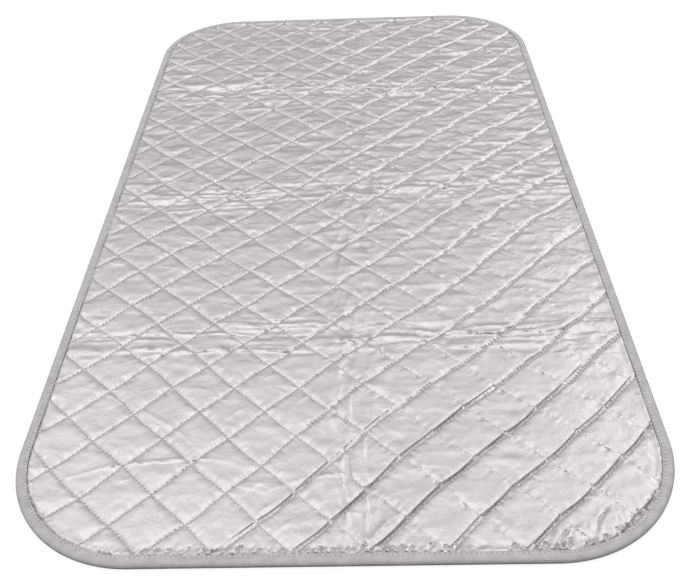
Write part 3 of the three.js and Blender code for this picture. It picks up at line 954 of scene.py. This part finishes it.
def cloth_material(name, colour, roughness, metallic, grain, strength, mottle, woven):
    """A cloth with a fine crinkle in its surface, uneven colour and, where it shows, a weave."""
    material = bpy.data.materials.new(name)
    material.use_nodes = True
    tree = material.node_tree
    shader = tree.nodes["Principled BSDF"]
    shader.inputs["Roughness"].default_value = roughness
    shader.inputs["Metallic"].default_value = metallic
    place = tree.nodes.new("ShaderNodeTexCoord").outputs["Object"]
    tint = tree.nodes.new("ShaderNodeValToRGB")
    for stop, level, share in zip(tint.color_ramp.elements, PATCH_LEVELS, (1 - mottle, 1 + mottle)):
        stop.position = level
        stop.color = (*(share * part for part in colour), 1)
    tree.links.new(noise_node(tree, place, PATCHES, 6), tint.inputs["Fac"])
    tree.links.new(tint.outputs["Color"], shader.inputs["Base Color"])
    height = noise_node(tree, place, grain, 4)
    if woven:
        height = add_weave(tree, place, height)
    bump = tree.nodes.new("ShaderNodeBump")
    bump.inputs["Strength"].default_value = strength
    bump.inputs["Distance"].default_value = BUMP_HEIGHT * MM
    tree.links.new(height, bump.inputs["Height"])
    tree.links.new(bump.outputs["Normal"], shader.inputs["Normal"])
    return material


# Studio

# Brightness of the room by height above the table, as shares of its brightness overhead
ROOM_LEVELS = (
    (0.0, 0.14), (0.25, 0.25), (0.42, 0.31), (0.57, 0.56), (0.68, 0.58), (0.81, 0.51), (0.97, 1.05),
)

# Brightness of the room from its front to its rear, along an axis, and where the front ends
ROOM_FRONT, ROOM_REAR = 0.1, 1.35
ROOM_AXIS, ROOM_FRONT_END = (-0.5, 0.866, 0.0), -0.3

# Lamps: place, size and power, all facing one spot on the pad
SOFTBOXES = {
    "left_box": ((-1.0, 0.1, 1.15), 1.6, 1.9),
    "right_box": ((1.25, 0.75, 1.05), 1.2, 3.2),
    "rear_left_box": ((-1.3, 1.2, 0.7), 0.8, 0.4),
    "rear_right_box": ((1.3, 1.2, 0.7), 0.8, 1.4),
}
LIT_SPOT = Vector((0, -0.1, 0))

# The table: half its size, its top, its colour, its glow to the camera, and its colour to the pad
FLOOR_HALF, FLOOR_Z = 4000, -0.5
FLOOR_COLOUR, FLOOR_GLOW, FLOOR_GLOW_SHARE, FLOOR_DIM = 0.8, 1.25, 0.7, 0.15

# The photograph's view: turns in degrees, place in metres, focal length and width in pixels, sensor
CAMERA_PITCH, CAMERA_YAW, CAMERA_ROLL = 41.17, 2.01, -2.58
CAMERA_PLACE = (0.017, -0.697, 0.483)
FOCAL_PIXELS, PHOTO_WIDTH, SENSOR = 840.8, 680, 36


def grey(level):
    return level, level, level, 1


def ray_mix(tree, to_camera, to_rest):
    """A shader that is one thing to the camera and another to all else."""
    path = tree.nodes.new("ShaderNodeLightPath")
    mix = tree.nodes.new("ShaderNodeMixShader")
    tree.links.new(path.outputs["Is Camera Ray"], mix.inputs["Fac"])
    tree.links.new(to_rest, mix.inputs[1])
    tree.links.new(to_camera, mix.inputs[2])
    return mix.outputs[0]


def room_brightness(tree):
    """Brightness by height times brightness from front to rear."""
    nodes, links = tree.nodes, tree.links
    place = nodes.new("ShaderNodeTexCoord").outputs["Generated"]
    parts = nodes.new("ShaderNodeSeparateXYZ")
    level = nodes.new("ShaderNodeValToRGB")
    stops = level.color_ramp.elements
    while len(stops) < len(ROOM_LEVELS):
        stops.new(1.0)
    for stop, (height, share) in zip(stops, ROOM_LEVELS):
        stop.position = height
        stop.color = grey(share)
    along = nodes.new("ShaderNodeVectorMath")
    along.operation = "DOT_PRODUCT"
    along.inputs[1].default_value = ROOM_AXIS
    depth = nodes.new("ShaderNodeMapRange")
    depth.inputs["From Min"].default_value = -1.0
    depth.inputs["From Max"].default_value = ROOM_FRONT_END
    depth.inputs["To Min"].default_value = ROOM_FRONT
    depth.inputs["To Max"].default_value = ROOM_REAR
    product = nodes.new("ShaderNodeMath")
    product.operation = "MULTIPLY"
    links.new(place, parts.inputs[0])
    links.new(parts.outputs["Z"], level.inputs["Fac"])
    links.new(place, along.inputs[0])
    links.new(along.outputs["Value"], depth.inputs["Value"])
    links.new(level.outputs["Color"], product.inputs[0])
    links.new(depth.outputs["Result"], product.inputs[1])
    return product.outputs[0]


def build_world():
    """White to the camera; to the cloth, a room that is bright overhead and dim near the table."""
    world = bpy.data.worlds.new("studio")
    bpy.context.scene.world = world
    world.use_nodes = True
    tree = world.node_tree
    room = tree.nodes["Background"]
    room.inputs["Color"].default_value = grey(1)
    white = tree.nodes.new("ShaderNodeBackground")
    white.inputs["Color"].default_value = grey(1)
    white.inputs["Strength"].default_value = 1
    tree.links.new(room_brightness(tree), room.inputs["Strength"])
    shown = ray_mix(tree, white.outputs[0], room.outputs[0])
    tree.links.new(shown, tree.nodes["World Output"].inputs["Surface"])


def build_floor():
    """A table that is pale to the camera, with the pad's shadow on it, and dimmer to the pad."""
    corners = [(x * FLOOR_HALF, y * FLOOR_HALF, FLOOR_Z) for x, y in ((-1, -1), (1, -1), (1, 1), (-1, 1))]
    material = bpy.data.materials.new("floor")
    material.use_nodes = True
    nodes, links = material.node_tree.nodes, material.node_tree.links
    shader = nodes["Principled BSDF"]
    shader.inputs["Base Color"].default_value = grey(FLOOR_COLOUR)
    shader.inputs["Roughness"].default_value = 1
    shader.inputs["Specular IOR Level"].default_value = 0
    glow = nodes.new("ShaderNodeEmission")
    glow.inputs["Strength"].default_value = FLOOR_GLOW
    pale = nodes.new("ShaderNodeMixShader")
    pale.inputs["Fac"].default_value = FLOOR_GLOW_SHARE
    dim = nodes.new("ShaderNodeBsdfDiffuse")
    dim.inputs["Color"].default_value = grey(FLOOR_DIM)
    links.new(shader.outputs[0], pale.inputs[1])
    links.new(glow.outputs[0], pale.inputs[2])
    shown = ray_mix(material.node_tree, pale.outputs[0], dim.outputs[0])
    links.new(shown, nodes["Material Output"].inputs["Surface"])
    new_object("floor", corners, [(0, 1, 2, 3)], material)


def build_studio():
    scene = bpy.context.scene
    scene.view_settings.view_transform = "Standard"
    build_world()
    build_floor()
    for name, (place, size, power) in SOFTBOXES.items():
        light = bpy.data.lights.new(name, "AREA")
        light.size = size
        light.energy = power
        lamp = bpy.data.objects.new(name, light)
        scene.collection.objects.link(lamp)
        lamp.location = place
        lamp.rotation_euler = (LIT_SPOT - lamp.location).to_track_quat("-Z", "Y").to_euler()


def build_camera():
    pitch, yaw, roll = (math.radians(angle) for angle in (CAMERA_PITCH, CAMERA_YAW, CAMERA_ROLL))
    turn = Matrix.Rotation(yaw, 3, "Z")
    forward = turn @ Vector((0, math.cos(pitch), -math.sin(pitch)))
    right = turn @ Vector((1, 0, 0))
    up = right.cross(forward)
    side = math.cos(roll) * right + math.sin(roll) * up
    top = math.cos(roll) * up - math.sin(roll) * right
    data = bpy.data.cameras.new("camera")
    data.sensor_fit = "HORIZONTAL"
    data.sensor_width = SENSOR
    data.lens = SENSOR * FOCAL_PIXELS / PHOTO_WIDTH
    camera = bpy.data.objects.new("camera", data)
    bpy.context.scene.collection.objects.link(camera)
    axes = Matrix((side, top, -forward)).transposed().to_4x4()
    camera.matrix_world = Matrix.Translation(CAMERA_PLACE) @ axes
    bpy.context.scene.camera = camera


silver = cloth_material(
    "silver_cloth", colour=(0.76, 0.732, 0.739), roughness=0.36, metallic=0.8,
    grain=420, strength=0.45, mottle=0.03, woven=False,
)
backing = cloth_material(
    "backing_cloth", colour=(0.54, 0.54, 0.55), roughness=0.9, metallic=0.0,
    grain=2500, strength=0.3, mottle=0.1, woven=True,
)
tape = cloth_material(
    "binding_cloth", colour=(0.66, 0.643, 0.643), roughness=0.7, metallic=0.0,
    grain=2500, strength=0.35, mottle=0.1, woven=True,
)
thread = cloth_material(
    "thread", colour=(0.88, 0.865, 0.87), roughness=0.5, metallic=0.0,
    grain=4000, strength=0.2, mottle=0.05, woven=False,
)

cover_net, cover_points = build_cover(silver)
build_backing(backing)
build_binding(tape)
build_stitching(cover_net, cover_points, thread)
build_studio()
build_camera()
